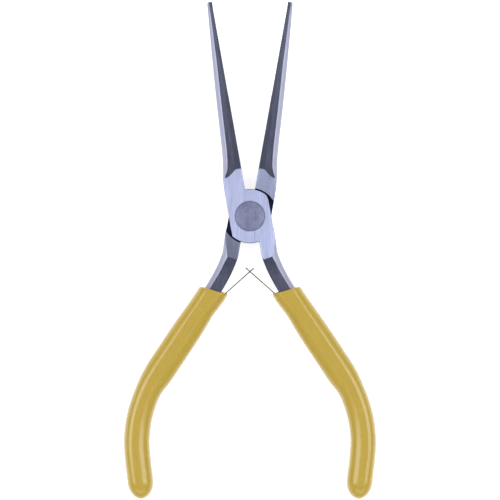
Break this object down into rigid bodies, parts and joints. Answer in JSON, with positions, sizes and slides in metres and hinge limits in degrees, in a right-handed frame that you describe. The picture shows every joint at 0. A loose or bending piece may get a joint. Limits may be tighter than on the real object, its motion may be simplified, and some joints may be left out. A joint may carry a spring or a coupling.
{
  "type": "needle nose pliers",
  "caption": "Slim needle nose pliers with lap joint, flush rivet, crossed leaf return springs and moulded vinyl handle grips, standing sprung open.",
  "frame": {"origin": "on the pivot's axis, at the flush rear face of the pivot rivet, which the joint's rear cheek shares", "axes": "+Z along the pivot's axis from the rear face to the front face, +Y toward the jaw tips, +X to the right seen from the front; at rest the pliers lie flat, sprung open"},
  "size_m": [0.076, 0.1496, 0.009],
  "materials": {
    "polished_steel": "ground and fine brushed, bright on the cheeks and rounded backs, darker on the sloping faces",
    "rivet_steel": "ground flush, duller than the cheeks",
    "spring_steel": "plain rolled spring strip",
    "yellow_vinyl": "soft moulded vinyl, mustard yellow, semi-gloss"
  },
  "bodies": {
    "front_half": {"front_lever": "polished_steel", "pivot_rivet": "rivet_steel", "right_grip": "yellow_vinyl", "right_spring_rivet": "rivet_steel"},
    "rear_half": {"rear_lever": "polished_steel", "left_grip": "yellow_vinyl", "left_spring_rivet": "rivet_steel"},
    "right_leaf": {"right_leaf_spring": "spring_steel"},
    "left_leaf": {"left_leaf_spring": "spring_steel"}
  },
  "joints": [
    {"name": "main_pivot", "type": "hinge", "parent": "front_half", "child": "rear_half", "pos_m": [0, 0, 0.0045], "axis": [0, 0, 1], "range_deg": [-8, 20], "stiffness_Nm_per_rad": 0.45},
    {"name": "right_leaf_flex", "type": "hinge", "parent": "front_half", "child": "right_leaf", "pos_m": [0.00763, -0.02339, 0.0045], "axis": [0, 0, 1], "range_deg": [-19, 8], "deforming": ["right_leaf_spring"]},
    {"name": "left_leaf_flex", "type": "hinge", "parent": "rear_half", "child": "left_leaf", "pos_m": [-0.00763, -0.02339, 0.0045], "axis": [0, 0, 1], "range_deg": [-8, 19], "deforming": ["left_leaf_spring"]}
  ],
  "couplings": [
    {"joint": "right_leaf_flex", "follows": "main_pivot", "ratio": -0.93},
    {"joint": "left_leaf_flex", "follows": "main_pivot", "ratio": 0.93}
  ]
}
